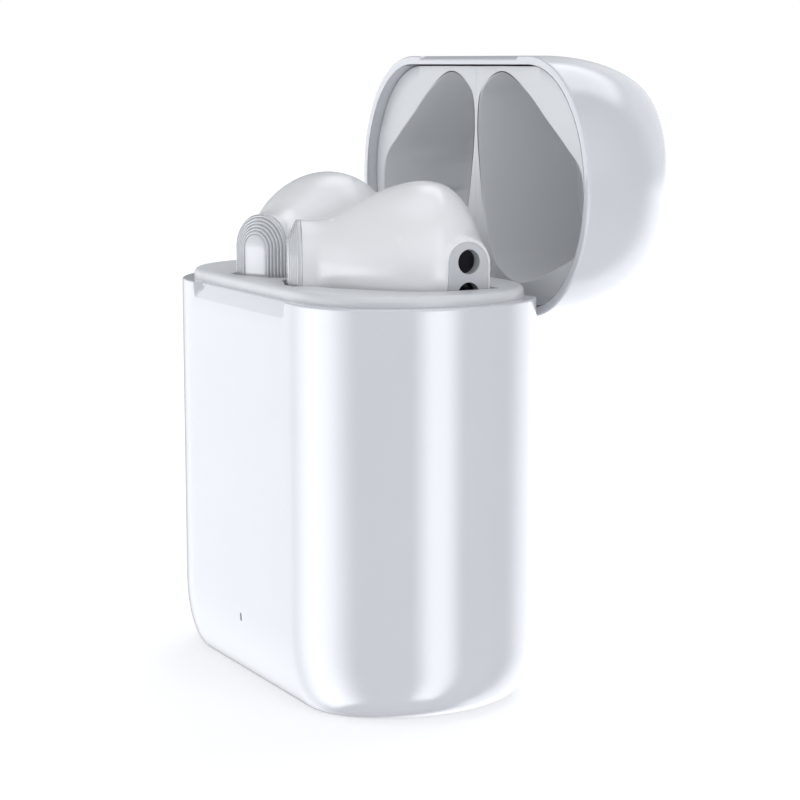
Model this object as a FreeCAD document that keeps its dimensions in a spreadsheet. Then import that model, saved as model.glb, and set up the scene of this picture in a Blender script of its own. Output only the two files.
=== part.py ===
import FreeCAD, Part
import math
import os
import Sketcher

# Wireless earbuds in a charging case, lid open at a right angle.
# Frame: origin under the middle of the case, +Z up, -Y the front, +Y the hinge side.
# All lengths in millimetres, all angles in degrees.

Vector = FreeCAD.Vector
Rotation = FreeCAD.Rotation
Placement = FreeCAD.Placement

doc = FreeCAD.newDocument("earbuds_case")
sheet = doc.addObject("Spreadsheet::Sheet", "Params")

SIZES = {
    # outer plan: straight front and back, elliptical ends
    "half_length": 20.6,
    "half_width": 11.5,
    "end_reach": 10.0,
    "rim_height": 35.5,
    # rounding at the foot, different along the length and across the width
    "foot_in_x": 3.3,
    "foot_up_x": 4.7,
    "foot_in_y": 2.1,
    "foot_up_y": 7.0,
    "case_wall": 1.4,
    "floor_height": 2.0,
    # lid, sized as closed
    "lid_height": 13.0,
    "dome_in_x": 9.0,
    "dome_up_x": 11.9,
    "dome_in_y": 5.7,
    "dome_up_y": 11.4,
    "lid_wall": 0.8,
    "lid_roof": 1.1,
    "hinge_y": 10.5,
    "hinge_z": 34.1,
    "open_angle": 90,
    # hinge
    "pin_radius": 0.5,
    "barrel_radius": 0.95,
    "barrel_play": 0.05,
    "arm_half": 3.9,
    "knuckle_start": 4.2,
    "knuckle_end": 7.0,
    "notch_half": 7.4,
    "back_round": 1.2,
    # thumb notch at the front of the body and of the lid
    "notch_width": 19.2,
    "notch_drop": 1.45,
    "notch_depth": 0.8,
    "lid_notch_width": 17.6,
    "lid_notch_rise": 0.7,
    "lid_notch_depth": 0.5,
    # tray
    "tray_inset": 1.1,
    "tray_rise": 0.95,
    "tray_round": 0.5,
    "skirt_inset": 1.5,
    "skirt_depth": 2.5,
    "deck_thick": 1.2,
    "seat_gap": 0.35,
    "seat_wall": 0.8,
    # lid liner
    "liner_recess": 1.06,
    "liner_gap": 0.12,
    "liner_thick": 0.9,
    # status light
    "light_height": 5.9,
    "light_width": 0.36,
    "light_tall": 0.74,
    # board and what stands on it
    "board_base": 7.2,
    "board_thick": 0.8,
    "board_length": 31,
    "board_width": 16.5,
    "port_width": 8.94,
    "port_depth": 3.2,
    "port_base": 0.3,
    "battery_length": 30,
    "battery_width": 6.8,
    "battery_tall": 16,
    "battery_base": 9.6,
    "battery_y": 5.2,
    # earbud placing, right hand one
    "face_x": 3.68,
    "face_y": -7.41,
    "face_turn": 22,
    "neck_turn": 30,
    "face_width": 6.2,
    "face_top": 41.95,
    "face_bottom": 27,
    "rim_thick": 0.35,
    "step_count": 6,
    "step_rise": 0.13,
    "step_tread": 0.29,
    "stem_radius": 2.7,
    "stem_back": 3.05,
    "stem_base": 15.3,
    "stem_wall": 0.6,
    "tip_tall": 2.4,
    "head_mid": 38.1,
    "head_wall": 0.8,
    "head_split": 35.0,
    "head_x": 8.65,
    "head_y": 1.8,
    "plate_x": 16.0,
    "plate_y": 2.9,
    "plate_upper": 38.45,
    "plate_half": 2.05,
    "pod_half": 2.5,
    "pod_x": 15.7,
    "sight_radius": 1.06,
    "sight_upper": 38.8,
    "sight_lower": 36.0,
    "sight_deep": 1.1,
    "plate_root": 13.7,
    "driver_radius": 4.1,
    "grille_radius": 2.5,
    "cell_radius": 4.0,
    # spring pins
    "pogo_spread": 1.15,
    "pogo_radius": 0.5,
    "pogo_top": 15.25,
}

# stations of the head along the neck line: distance, half width, half height
STATIONS = [
    (0.8, 2.85, 3.3),
    (3.1, 4.1, 4.3),
    (5.3, 5.3, 5.5),
    (7.5, 6.25, 6.5),
    (9.75, 6.95, 7.2),
    (11.5, 7.0, 7.35),
    (13.1, 6.55, 6.85),
    (14.3, 5.4, 5.8),
    (15.3, 3.9, 4.3),
    (16.0, 2.2, 2.5),
    (16.45, 0.9, 1.0),
]
for index, (reach, half, tall) in enumerate(STATIONS):
    SIZES["reach_%02d" % index] = reach
    SIZES["half_%02d" % index] = half
    SIZES["tall_%02d" % index] = tall

for row, (name, value) in enumerate(SIZES.items(), start=1):
    sheet.set("A%d" % row, name)
    sheet.set("B%d" % row, str(value))
    sheet.setAlias("B%d" % row, name)
doc.recompute()


def size(name):
    return float(sheet.get(name))


def link(text):
    """Turn bare size names in a formula into references to the sheet."""
    words = sorted(SIZES, key=len, reverse=True)
    out = ""
    spot = 0
    while spot < len(text):
        for word in words:
            before = text[spot - 1] if spot else " "
            after = text[spot + len(word):spot + len(word) + 1] or " "
            if text.startswith(word, spot) and not (before.isalnum() or before == "_"):
                if not (after.isalnum() or after == "_"):
                    out += "Params." + word
                    spot += len(word)
                    break
        else:
            out += text[spot]
            spot += 1
    return out


def bind(thing, path, formula):
    thing.setExpression(path, link(str(formula)))


def origin_plane(body, role):
    for feature in body.Origin.OriginFeatures:
        if feature.Role == role:
            return feature
    raise RuntimeError("no plane " + role)


def place(thing, x=0, y=0, z=0):
    for axis, formula in (("x", x), ("y", y), ("z", z)):
        bind(thing, "Placement.Base." + axis, formula)


def box(name, length, width, height, x=0, y=0, z=0):
    """Box centred on x and y, standing on z."""
    thing = doc.addObject("Part::Box", name)
    bind(thing, "Length", length)
    bind(thing, "Width", width)
    bind(thing, "Height", height)
    place(thing, "%s - (%s) / 2" % (x, length), "%s - (%s) / 2" % (y, width), z)
    return thing


def cylinder(name, radius, height, x=0, y=0, z=0, axis=(0, 0, 1)):
    thing = doc.addObject("Part::Cylinder", name)
    bind(thing, "Radius", radius)
    bind(thing, "Height", height)
    thing.Placement = Placement(Vector(), Rotation(Vector(0, 0, 1), Vector(*axis)))
    place(thing, x, y, z)
    return thing


def fuse(name, shapes):
    thing = doc.addObject("Part::MultiFuse", name)
    thing.Shapes = shapes
    thing.Refine = True
    return thing


def cut(name, base, tool):
    thing = doc.addObject("Part::Cut", name)
    thing.Base = base
    thing.Tool = tool
    thing.Refine = True
    return thing


def common(name, base, tool):
    thing = doc.addObject("Part::Common", name)
    thing.Base = base
    thing.Tool = tool
    return thing


def join(name, shapes):
    thing = doc.addObject("Part::Compound", name)
    thing.Links = shapes
    return thing


def mirror(name, source):
    thing = doc.addObject("Part::Mirroring", name)
    thing.Source = source
    thing.Base = Vector(0, 0, 0)
    thing.Normal = Vector(1, 0, 0)
    return thing


def turned(name, shape, turn, x, y):
    """Wrap a shape built round the z axis and move it to x, y turned about z."""
    thing = doc.addObject("Part::Compound", name)
    thing.Links = [shape]
    thing.Placement = Placement(Vector(), Rotation(Vector(0, 0, 1), 1))
    bind(thing, "Placement.Rotation.Angle", turn)
    place(thing, x, y, 0)
    return thing


def plan_sketch(body, name, height, half_length, half_width, end_reach):
    """Outline with straight long sides and elliptical ends, at a height."""
    sketch = body.newObject("Sketcher::SketchObject", name)
    sketch.AttachmentSupport = [(origin_plane(body, "XY_Plane"), "")]
    sketch.MapMode = "FlatFace"
    bind(sketch, "AttachmentOffset.Base.z", height)
    flat, half, reach = 8.0, 8.0, 6.0
    right = Part.Ellipse(Vector(flat, half, 0), Vector(flat - reach, 0, 0), Vector(flat, 0, 0))
    left = Part.Ellipse(Vector(-flat, half, 0), Vector(-flat - reach, 0, 0), Vector(-flat, 0, 0))
    sketch.addGeometry(Part.LineSegment(Vector(-flat, -half, 0), Vector(flat, -half, 0)))
    sketch.addGeometry(Part.ArcOfEllipse(right, -math.pi, 0))
    sketch.addGeometry(Part.LineSegment(Vector(flat, half, 0), Vector(-flat, half, 0)))
    sketch.addGeometry(Part.ArcOfEllipse(left, 0, math.pi))
    sketch.exposeInternalGeometry(1)
    sketch.exposeInternalGeometry(3)
    rules = [
        ("Coincident", 1, 1, 4, 2),
        ("Coincident", 1, 2, 4, 1),
        ("Coincident", 3, 1, 8, 1),
        ("Coincident", 3, 2, 8, 2),
        ("Coincident", 0, 2, 1, 1),
        ("Coincident", 1, 2, 2, 1),
        ("Coincident", 2, 2, 3, 1),
        ("Coincident", 3, 2, 0, 1),
        ("Symmetric", 0, 1, 0, 2, -2),
        ("Symmetric", 2, 1, 2, 2, -2),
        ("Symmetric", 0, 2, 2, 1, -1),
        ("Equal", 5, 9),
    ]
    for rule in rules:
        sketch.addConstraint(Sketcher.Constraint(*rule))
    span = sketch.addConstraint(Sketcher.Constraint("DistanceX", 0, 1, 0, 2, 2 * flat))
    bind(sketch, "Constraints[%d]" % span, "2 * ((%s) - (%s))" % (half_length, end_reach))
    depth = sketch.addConstraint(Sketcher.Constraint("DistanceY", 0, 2, 2, 1, 2 * half))
    bind(sketch, "Constraints[%d]" % depth, "2 * (%s)" % half_width)
    bulge = sketch.addConstraint(Sketcher.Constraint("Distance", 5, 2 * reach))
    bind(sketch, "Constraints[%d]" % bulge, "2 * (%s)" % end_reach)
    return sketch


def tuck(inward, upward, away):
    """How far a rounded edge has come in, at a distance away from the flat face."""
    return "(%s) * (1 - sqrt(1 - max(0; 1 - (%s) / (%s)) ^ 2))" % (inward, away, upward)


def rounded_section(body, name, height, in_x, in_y, inset):
    """Plan outline brought in by the rounding at this height and by a wall."""
    half_length = "half_length - (%s) - (%s)" % (in_x, inset)
    half_width = "half_width - (%s) - (%s)" % (in_y, inset)
    end_reach = "end_reach - 0.5 * (%s) - 0.9 * (%s)" % (in_x, inset)
    return plan_sketch(body, name, height, half_length, half_width, end_reach)


def loft(body, kind, name, sections):
    feature = body.newObject("PartDesign::" + kind, name)
    feature.Profile = sections[0]
    feature.Sections = sections[1:]
    feature.Ruled = False
    feature.Closed = False
    for sketch in sections:
        sketch.Visibility = False
    doc.recompute()
    body.Tip = feature
    return feature


def pad(body, name, sketch, length, backwards=False, midplane=False):
    feature = body.newObject("PartDesign::Pad", name)
    feature.Profile = sketch
    bind(feature, "Length", length)
    feature.Reversed = backwards
    feature.Midplane = midplane
    body.Tip = feature
    return feature


def pocket(body, name, sketch, length, backwards=False, midplane=False):
    before = body.Tip
    feature = body.newObject("PartDesign::Pocket", name)
    feature.Profile = sketch
    bind(feature, "Length", length)
    feature.Reversed = backwards
    feature.Midplane = midplane
    doc.recompute()
    if not feature.Shape.Volume < before.Shape.Volume - 1e-6:
        raise RuntimeError(name + " takes nothing away")
    body.Tip = feature
    return feature


def polygon_sketch(body, name, plane, points, offset="0"):
    """Closed polygon whose corners are bound to formulas."""
    sketch = body.newObject("Sketcher::SketchObject", name)
    sketch.AttachmentSupport = [(origin_plane(body, plane), "")]
    sketch.MapMode = "FlatFace"
    bind(sketch, "AttachmentOffset.Base.z", offset)
    guesses = [(i * 1.0 + 5, (i * i) * 1.0 + 5) for i in range(len(points))]
    count = len(points)
    for i in range(count):
        start = Vector(guesses[i][0], guesses[i][1], 0)
        end = Vector(guesses[(i + 1) % count][0], guesses[(i + 1) % count][1], 0)
        sketch.addGeometry(Part.LineSegment(start, end))
    for i in range(count):
        sketch.addConstraint(Sketcher.Constraint("Coincident", i, 2, (i + 1) % count, 1))
    for i, (across, along) in enumerate(points):
        for kind, formula, guess in (("DistanceX", across, 0), ("DistanceY", along, 1)):
            rule = Sketcher.Constraint(kind, -1, 1, i, 1, guesses[i][guess])
            spot = sketch.addConstraint(rule)
            bind(sketch, "Constraints[%d]" % spot, formula)
    return sketch


def fillet(body, name, edges, radius):
    before = body.Tip
    feature = body.newObject("PartDesign::Fillet", name)
    feature.Base = (before, edges)
    bind(feature, "Radius", radius)
    doc.recompute()
    body.Tip = feature
    return feature


def edges_where(shape, test):
    return ["Edge%d" % (i + 1) for i, edge in enumerate(shape.Edges) if test(edge)]


def at_height(height):
    def test(edge):
        box_ = edge.BoundBox
        return abs(box_.ZMin - height) < 1e-3 and abs(box_.ZMax - height) < 1e-3
    return test


def circle_sketch(body, name, plane, offset, centres, radius):
    sketch = body.newObject("Sketcher::SketchObject", name)
    sketch.AttachmentSupport = [(origin_plane(body, plane), "")]
    sketch.MapMode = "FlatFace"
    bind(sketch, "AttachmentOffset.Base.z", offset)
    for i, (across, along) in enumerate(centres):
        guess = Vector(3.0 * i + 1, 2.0, 0)
        sketch.addGeometry(Part.Circle(guess, Vector(0, 0, 1), 1.0))
        for kind, formula, value in (("DistanceX", across, guess.x), ("DistanceY", along, guess.y)):
            spot = sketch.addConstraint(Sketcher.Constraint(kind, -1, 1, i, 3, value))
            bind(sketch, "Constraints[%d]" % spot, formula)
        spot = sketch.addConstraint(Sketcher.Constraint("Radius", i, 1.0))
        bind(sketch, "Constraints[%d]" % spot, radius)
    return sketch


def slot_sketch(body, name, plane, offset, start, end, radius):
    """Stadium between two centres; the slot runs along one sketch axis."""
    sketch = body.newObject("Sketcher::SketchObject", name)
    sketch.AttachmentSupport = [(origin_plane(body, plane), "")]
    sketch.MapMode = "FlatFace"
    bind(sketch, "AttachmentOffset.Base.z", offset)
    upright = start[0] == end[0]
    quarter = math.pi / 2
    if upright:
        low, high = Vector(2, 2, 0), Vector(2, 8, 0)
        turn = quarter
    else:
        low, high = Vector(2, 2, 0), Vector(8, 2, 0)
        turn = 0
    axis = Vector(0, 0, 1)
    side = Vector(-math.sin(turn), math.cos(turn), 0)
    first = Part.Circle(low, axis, 1.0)
    second = Part.Circle(high, axis, 1.0)
    sketch.addGeometry(Part.ArcOfCircle(first, quarter + turn, 3 * quarter + turn))
    sketch.addGeometry(Part.LineSegment(low - side, high - side))
    sketch.addGeometry(Part.ArcOfCircle(second, -quarter + turn, quarter + turn))
    sketch.addGeometry(Part.LineSegment(high + side, low + side))
    rules = [
        ("Tangent", 0, 2, 1, 1),
        ("Tangent", 1, 2, 2, 1),
        ("Tangent", 2, 2, 3, 1),
        ("Tangent", 3, 2, 0, 1),
        ("Equal", 0, 2),
    ]
    for rule in rules:
        sketch.addConstraint(Sketcher.Constraint(*rule))
    targets = [
        ("DistanceX", 0, start[0], low.x),
        ("DistanceY", 0, start[1], low.y),
        ("DistanceX", 2, end[0], high.x),
        ("DistanceY", 2, end[1], high.y),
    ]
    for kind, arc, formula, value in targets:
        spot = sketch.addConstraint(Sketcher.Constraint(kind, -1, 1, arc, 3, value))
        bind(sketch, "Constraints[%d]" % spot, formula)
    spot = sketch.addConstraint(Sketcher.Constraint("Radius", 0, 1.0))
    bind(sketch, "Constraints[%d]" % spot, radius)
    return sketch


def upright(edge):
    return edge.BoundBox.XLength < 1e-6 and edge.BoundBox.YLength < 1e-6


def new_body(name):
    return doc.addObject("PartDesign::Body", name)


def stand_turned(body):
    """Move a body built in the earbud's own frame to its place in the case."""
    body.Placement = Placement(Vector(), Rotation(Vector(0, 0, 1), -1))
    bind(body, "Placement.Rotation.Angle", "-face_turn")
    place(body, "face_x", "face_y", 0)


nodes = {}


def keep(name, thing):
    thing.Label = name
    nodes[name] = thing
    return thing


ROUND_STEPS = (0.0, 0.022, 0.0865, 0.191, 0.331, 0.5, 0.741, 1.0)

# ---------------------------------------------------------------- case shell
shell = new_body("case_shell")
sections = []
for i, part_way in enumerate(ROUND_STEPS):
    height = "%s * foot_up_y" % part_way
    in_x = tuck("foot_in_x", "foot_up_x", height)
    in_y = tuck("foot_in_y", "foot_up_y", height)
    sections.append(rounded_section(shell, "foot_outline_%d" % i, height, in_x, in_y, "0"))
loft(shell, "AdditiveLoft", "foot", sections)
wall_outline = rounded_section(shell, "wall_outline", "foot_up_y", "0", "0", "0")
pad(shell, "wall", wall_outline, "rim_height - foot_up_y")
cavity_outline = rounded_section(shell, "cavity_outline", "rim_height", "0", "0", "case_wall")
pocket(shell, "cavity", cavity_outline, "rim_height - floor_height")
doc.recompute()
fillet(shell, "cavity_foot", edges_where(shell.Tip.Shape, at_height(size("floor_height"))), 1.5)

CORNERS = [("13", "5.5"), ("-13", "5.5"), ("13", "-5.5"), ("-13", "-5.5")]
boss_outline = circle_sketch(shell, "boss_outline", "XY_Plane", "floor_height - 0.3", CORNERS, "1.5")
pad(shell, "bosses", boss_outline, "board_base - floor_height + 0.3")
doc.recompute()
boss_holes = circle_sketch(shell, "boss_holes", "XY_Plane", "board_base", CORNERS, "0.45")
pocket(shell, "boss_bores", boss_holes, "3.6")

port_reach = "(port_width - port_depth) / 2"
port_hole = slot_sketch(shell, "port_hole", "XY_Plane", "floor_height + 0.5",
                        ("-" + port_reach, "0"), (port_reach, "0"), "port_depth / 2 + 0.12")
pocket(shell, "port_mouth", port_hole, "floor_height + 1")

light_hole = slot_sketch(shell, "light_hole", "XZ_Plane", "half_width + 0.5",
                         ("0", "light_height - (light_tall - light_width) / 2"),
                         ("0", "light_height + (light_tall - light_width) / 2"),
                         "light_width / 2 + 0.02")
pocket(shell, "light_bore", light_hole, "case_wall + 1")

thumb = polygon_sketch(shell, "thumb_outline", "YZ_Plane", [
    ("-half_width - 1", "rim_height - notch_drop"),
    ("-half_width - 0.01", "rim_height - notch_drop"),
    ("-half_width + notch_depth", "rim_height + 0.1"),
    ("-half_width - 1", "rim_height + 0.1"),
])
pocket(shell, "thumb_notch", thumb, "notch_width", midplane=True)

hinge_gap = polygon_sketch(shell, "hinge_gap_outline", "YZ_Plane", [
    ("hinge_y - 1.2", "hinge_z - 1.2"),
    ("half_width + 1", "hinge_z - 1.2"),
    ("half_width + 1", "rim_height + 1"),
    ("hinge_y - 1.2", "rim_height + 1"),
])
pocket(shell, "hinge_gap", hinge_gap, "2 * notch_half", midplane=True)


def back_round_sketch(body):
    """Rounds the back edge about the hinge line so that the lid can swing past."""
    sketch = body.newObject("Sketcher::SketchObject", "back_round_outline")
    sketch.AttachmentSupport = [(origin_plane(body, "YZ_Plane"), "")]
    sketch.MapMode = "FlatFace"
    turn = Part.Circle(Vector(10, 30, 0), Vector(0, 0, 1), 2.0)
    sketch.addGeometry(Part.ArcOfCircle(turn, 0, math.pi / 2))
    corners = [Vector(10, 32, 0), Vector(9, 32, 0), Vector(9, 36, 0), Vector(14, 36, 0),
               Vector(14, 30, 0), Vector(12, 30, 0)]
    for a, b in zip(corners, corners[1:]):
        sketch.addGeometry(Part.LineSegment(a, b))
    sketch.addConstraint(Sketcher.Constraint("Coincident", 0, 2, 1, 1))
    for i in range(1, 5):
        sketch.addConstraint(Sketcher.Constraint("Coincident", i, 2, i + 1, 1))
    sketch.addConstraint(Sketcher.Constraint("Coincident", 5, 2, 0, 1))
    for line in (1, 3, 5):
        sketch.addConstraint(Sketcher.Constraint("Horizontal", line))
    for line in (2, 4):
        sketch.addConstraint(Sketcher.Constraint("Vertical", line))
    targets = [
        ("DistanceX", 0, 3, "hinge_y"),
        ("DistanceY", 0, 3, "hinge_z"),
        ("DistanceX", 2, 1, "half_width - case_wall - 0.2"),
        ("DistanceY", 3, 1, "rim_height + 1"),
        ("DistanceX", 4, 1, "half_width + 2"),
        ("DistanceX", 0, 2, "hinge_y"),
        ("DistanceY", 0, 1, "hinge_z"),
    ]
    for kind, item, point, formula in targets:
        spot = sketch.addConstraint(Sketcher.Constraint(kind, -1, 1, item, point, 10.0))
        bind(sketch, "Constraints[%d]" % spot, formula)
    spot = sketch.addConstraint(Sketcher.Constraint("Radius", 0, 2.0))
    bind(sketch, "Constraints[%d]" % spot, "back_round")
    return sketch


pocket(shell, "back_round", back_round_sketch(shell), "2 * half_length", midplane=True)
screw_bores = circle_sketch(shell, "bracket_bore_outline", "XZ_Plane", "-half_width + 2",
                            [("5.5", "29"), ("-5.5", "29")], "0.45")
pocket(shell, "bracket_bores", screw_bores, "1.5")
keep("case_shell", shell)

# ------------------------------------------------------- the head as a volume


def head_volume(name, grow):
    """Smooth lofted head, grown or shrunk all round by one length."""
    ring_list = []
    last = len(STATIONS) - 1
    for i in range(last + 1):
        ring = doc.addObject("Part::Ellipse", "%s_ring_%02d" % (name, i))
        along = Vector(math.sin(math.radians(30)), math.cos(math.radians(30)), 0)
        up = Vector(0, 0, 1)
        ring.Placement = Placement(Vector(), Rotation(up, along.cross(up), along, "ZXY"))
        bind(ring, "MajorRadius", "tall_%02d + %s" % (i, grow))
        bind(ring, "MinorRadius", "half_%02d + %s" % (i, grow))
        reach = "(reach_%02d + (%s) * (reach_%02d - 9) / 8.2)" % (i, grow, i)
        place(ring, "face_x + %s * sin(neck_turn * 1deg)" % reach,
              "face_y + %s * cos(neck_turn * 1deg)" % reach, "head_mid")
        ring_list.append(ring)
    thing = doc.addObject("Part::Loft", name)
    thing.Sections = ring_list
    thing.Solid = True
    thing.Ruled = False
    return thing


def stadium_block(name, half, deep, start, low, high):
    """Upright stadium slab in the earbud's own frame, turned into place."""
    body = new_body(name)
    outline = slot_sketch(body, name + "_outline", "XZ_Plane", "-(%s)" % start,
                          ("0", low), ("0", high), half)
    pad(body, name + "_pad", outline, deep, backwards=True)
    stand_turned(body)
    return body


def local(along, across="0"):
    """Case coordinates of a point in the earbud's own frame."""
    east = "face_x + (%s) * cos(face_turn * 1deg) + (%s) * sin(face_turn * 1deg)" % (across, along)
    north = "face_y - (%s) * sin(face_turn * 1deg) + (%s) * cos(face_turn * 1deg)" % (across, along)
    return east, north


stem_east, stem_north = local("stem_back")

head_dome = head_volume("head_outer", "0")
head_void = head_volume("head_inner", "-head_wall")
pod = new_body("sensor_pod")
pod_outline = slot_sketch(pod, "pod_outline", "YZ_Plane", "head_x + 1",
                          ("plate_y", "sight_lower"), ("plate_y", "plate_upper"), "pod_half")
pad(pod, "pod_pad", pod_outline, "pod_x - head_x - 1")
doc.recompute()


def pod_rim(edge):
    return edge.BoundBox.XMin > size("pod_x") - 0.01


fillet(pod, "pod_round", edges_where(pod.Tip.Shape, pod_rim), "0.6")
head_solid = fuse("head_solid", [head_dome, pod])
FACE_LOW = "face_bottom + face_width / 2"
FACE_HIGH = "face_top - face_width / 2"
stem_block = stadium_block("stem_block", "face_width / 2 - 0.05", "2.65", "rim_thick",
                           FACE_LOW, FACE_HIGH)
stem_rod = cylinder("stem_rod", "stem_radius", "34 - stem_base", stem_east, stem_north, "stem_base")
stem_solid = fuse("stem_solid", [stem_block, stem_rod])

# ----------------------------------------------------------------- inner tray
tray_body = new_body("tray_body")
flange_outline = rounded_section(tray_body, "flange_outline", "rim_height", "0", "0", "tray_inset")
pad(tray_body, "flange", flange_outline, "tray_rise")
doc.recompute()
top_edges = edges_where(tray_body.Tip.Shape, at_height(size("rim_height") + size("tray_rise")))
fillet(tray_body, "lip_round", top_edges, "tray_round")
skirt_outline = rounded_section(tray_body, "skirt_outline", "rim_height", "0", "0", "skirt_inset")
pad(tray_body, "skirt", skirt_outline, "skirt_depth", backwards=True)
hollow_outline = rounded_section(tray_body, "hollow_outline", "rim_height - skirt_depth", "0", "0",
                                 "skirt_inset + 1")
pocket(tray_body, "hollow", hollow_outline, "skirt_depth + tray_rise - deck_thick", backwards=True)

WELL_GROW = "seat_gap + seat_wall"
bowl_solid = head_volume("bowl_outer", "(%s)" % WELL_GROW)
bowl_void = head_volume("bowl_inner", "seat_gap")
bowl_zone = box("bowl_zone", 30, 30, 16, "head_x", "head_y", 20)
bowl_part = common("bowl_part", bowl_solid, bowl_zone)
well_rod = cylinder("well_rod", "stem_radius + " + WELL_GROW,
                    "36 - (stem_base - (%s))" % WELL_GROW,
                    stem_east, stem_north, "stem_base - (%s)" % WELL_GROW)
well_void = cylinder("well_void", "stem_radius + seat_gap", 30, stem_east, stem_north,
                     "stem_base - seat_gap")


def upright_prism(name, across, along_start, along_end, low, high):
    """Straight-sided slab in the earbud's own frame."""
    slab = box(name + "_slab", across, "(%s) - (%s)" % (along_end, along_start),
               "(%s) - (%s)" % (high, low), 0, "((%s) + (%s)) / 2" % (along_end, along_start), low)
    return turned(name, slab, "-face_turn", "face_x", "face_y")


STEP_OUT = "step_count * step_rise"
slab_solid = upright_prism("slab_outer", "face_width + 2 * (%s)" % WELL_GROW,
                           "-(%s) - (%s)" % (STEP_OUT, WELL_GROW), "3.2", "face_bottom - 1.15", "36")
slab_voids = []
for ribs in (0, 2, 4):
    slab_voids.append(upright_prism("slab_inner_%d" % ribs,
                                    "face_width - 2 * %d * step_tread + 2 * seat_gap" % ribs,
                                    "-%d * step_rise - seat_gap" % (ribs + 2), "3.4",
                                    "face_bottom - seat_gap", "60"))
slab_void = fuse("slab_inner", slab_voids)
PLATE_SPAN = "2 * (pod_half + seat_gap)"
plate_void = box("plate_void", "5", PLATE_SPAN, "20", "plate_x + seat_gap - 2.5", "plate_y",
                 "sight_lower - pod_half - seat_gap")
PIN_SPOTS = ("-pogo_spread", "pogo_spread")
pin_voids = []
for i, across in enumerate(PIN_SPOTS):
    east, north = local("stem_back", across)
    pin_voids.append(cylinder("pin_void_%d" % i, "pogo_radius + 0.1", "4", east, north, "stem_base - 2"))

right_solids = fuse("right_seat_solids", [bowl_part, well_rod, slab_solid])
left_solids = mirror("left_seat_solids", right_solids)
right_voids = fuse("right_seat_voids", [bowl_void, well_void, slab_void, plate_void] + pin_voids)
left_voids = mirror("left_seat_voids", right_voids)
seat_solids = fuse("seat_solids", [right_solids, left_solids])
inside_body = new_body("tray_envelope")
inside_outline = rounded_section(inside_body, "inside_outline", "10", "0", "0", "skirt_inset")
pad(inside_body, "inside_pad", inside_outline, "rim_height - 10")
seats_inside = common("seats_inside", seat_solids, inside_body)
hinge_well = box("hinge_well", "2 * notch_half", "4", "30", "0", "hinge_y + 0.75", "hinge_z - 8")
tray_full = fuse("tray_full", [tray_body, seats_inside])
seat_voids = fuse("seat_voids", [right_voids, left_voids, hinge_well])
keep("inner_tray", cut("inner_tray", tray_full, seat_voids))

# -------------------------------------------------------------- lid, as closed
lid_members = {}


def lid_outline_set(body, prefix, inset, lowered, steps=ROUND_STEPS):
    top = "rim_height + lid_height - (%s)" % lowered
    found = []
    for i, part_way in enumerate(steps):
        below = "%s * dome_up_x" % part_way
        in_x = tuck("dome_in_x", "dome_up_x", below)
        in_y = tuck("dome_in_y", "dome_up_y", below)
        found.append(rounded_section(body, "%s_%d" % (prefix, i), "%s - %s" % (top, below),
                                     in_x, in_y, inset))
    return found


lid = new_body("lid_shell")
dome_sections = lid_outline_set(lid, "dome_outline", "0", "0")
loft(lid, "AdditiveLoft", "dome", dome_sections)
lid_wall_outline = rounded_section(lid, "lid_rim_outline", "rim_height", "0", "0", "0")
pad(lid, "lid_rim", lid_wall_outline, "lid_height - dome_up_x")
hollow_sections = lid_outline_set(lid, "lid_hollow_outline", "lid_wall", "lid_roof")
loft(lid, "SubtractiveLoft", "lid_hollow", hollow_sections)
lid_thumb = polygon_sketch(lid, "lid_thumb_outline", "YZ_Plane", [
    ("-half_width - 1", "rim_height - 0.1"),
    ("-half_width + lid_notch_depth", "rim_height - 0.1"),
    ("-half_width - 0.01", "rim_height + lid_notch_rise"),
    ("-half_width - 1", "rim_height + lid_notch_rise"),
])
pocket(lid, "lid_thumb_notch", lid_thumb, "lid_notch_width", midplane=True)
lid_members["lid_shell"] = lid

liner_plate = new_body("liner_plate")
liner_outline = rounded_section(liner_plate, "liner_outline", "rim_height + liner_recess", "0", "0",
                                "lid_wall + liner_gap")
pad(liner_plate, "liner_pad", liner_outline, "liner_thick")

SEAT_PLANE = "rim_height + liner_recess"


def pocket_prism(name, grow, low):
    """Teardrop block: narrow by the centre at the front, wide to the outside at the back."""
    body = new_body(name)
    outline = polygon_sketch(body, name + "_outline", "XY_Plane", [
        ("0.5 - " + grow, "-10.1 - 0.4 * " + grow),
        ("6.3 + 0.3 * " + grow, "-10.1 - 0.4 * " + grow),
        ("18.1 + " + grow, "-1.3 - 0.5 * " + grow),
        ("18.1 + " + grow, "5.2 + 0.7 * " + grow),
        ("5.8", "9.3 + 1.05 * " + grow),
        ("2.6 - 0.8 * " + grow, "7.6 + 0.6 * " + grow),
        ("0.5 - " + grow, "-4.2"),
    ], low)
    pad(body, name + "_pad", outline, "50 - (%s)" % low)
    doc.recompute()
    rounds = [(0.5, -10.1, 3.8), (6.3, -10.1, 4.0), (18.1, -1.3, 2.0), (18.1, 5.2, 1.6), (5.8, 9.3, 3.0),
              (2.6, 7.6, 2.6), (0.5, -4.2, 8.0)]
    for i, (x, y, r) in enumerate(rounds):
        near = min((e for e in body.Tip.Shape.Edges if upright(e)),
                   key=lambda e: math.hypot(e.BoundBox.XMin - x, e.BoundBox.YMin - y))
        spot = [k + 1 for k, e in enumerate(body.Tip.Shape.Edges) if e.isSame(near)][0]
        fillet(body, "%s_round_%d" % (name, i), ["Edge%d" % spot], r)
    return body


def lid_zone(name, inset, lowered):
    """The space inside the lid, brought in by a wall."""
    body = new_body(name)
    loft(body, "AdditiveLoft", name + "_loft", lid_outline_set(body, name + "_outline", inset, lowered))
    return body


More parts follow.
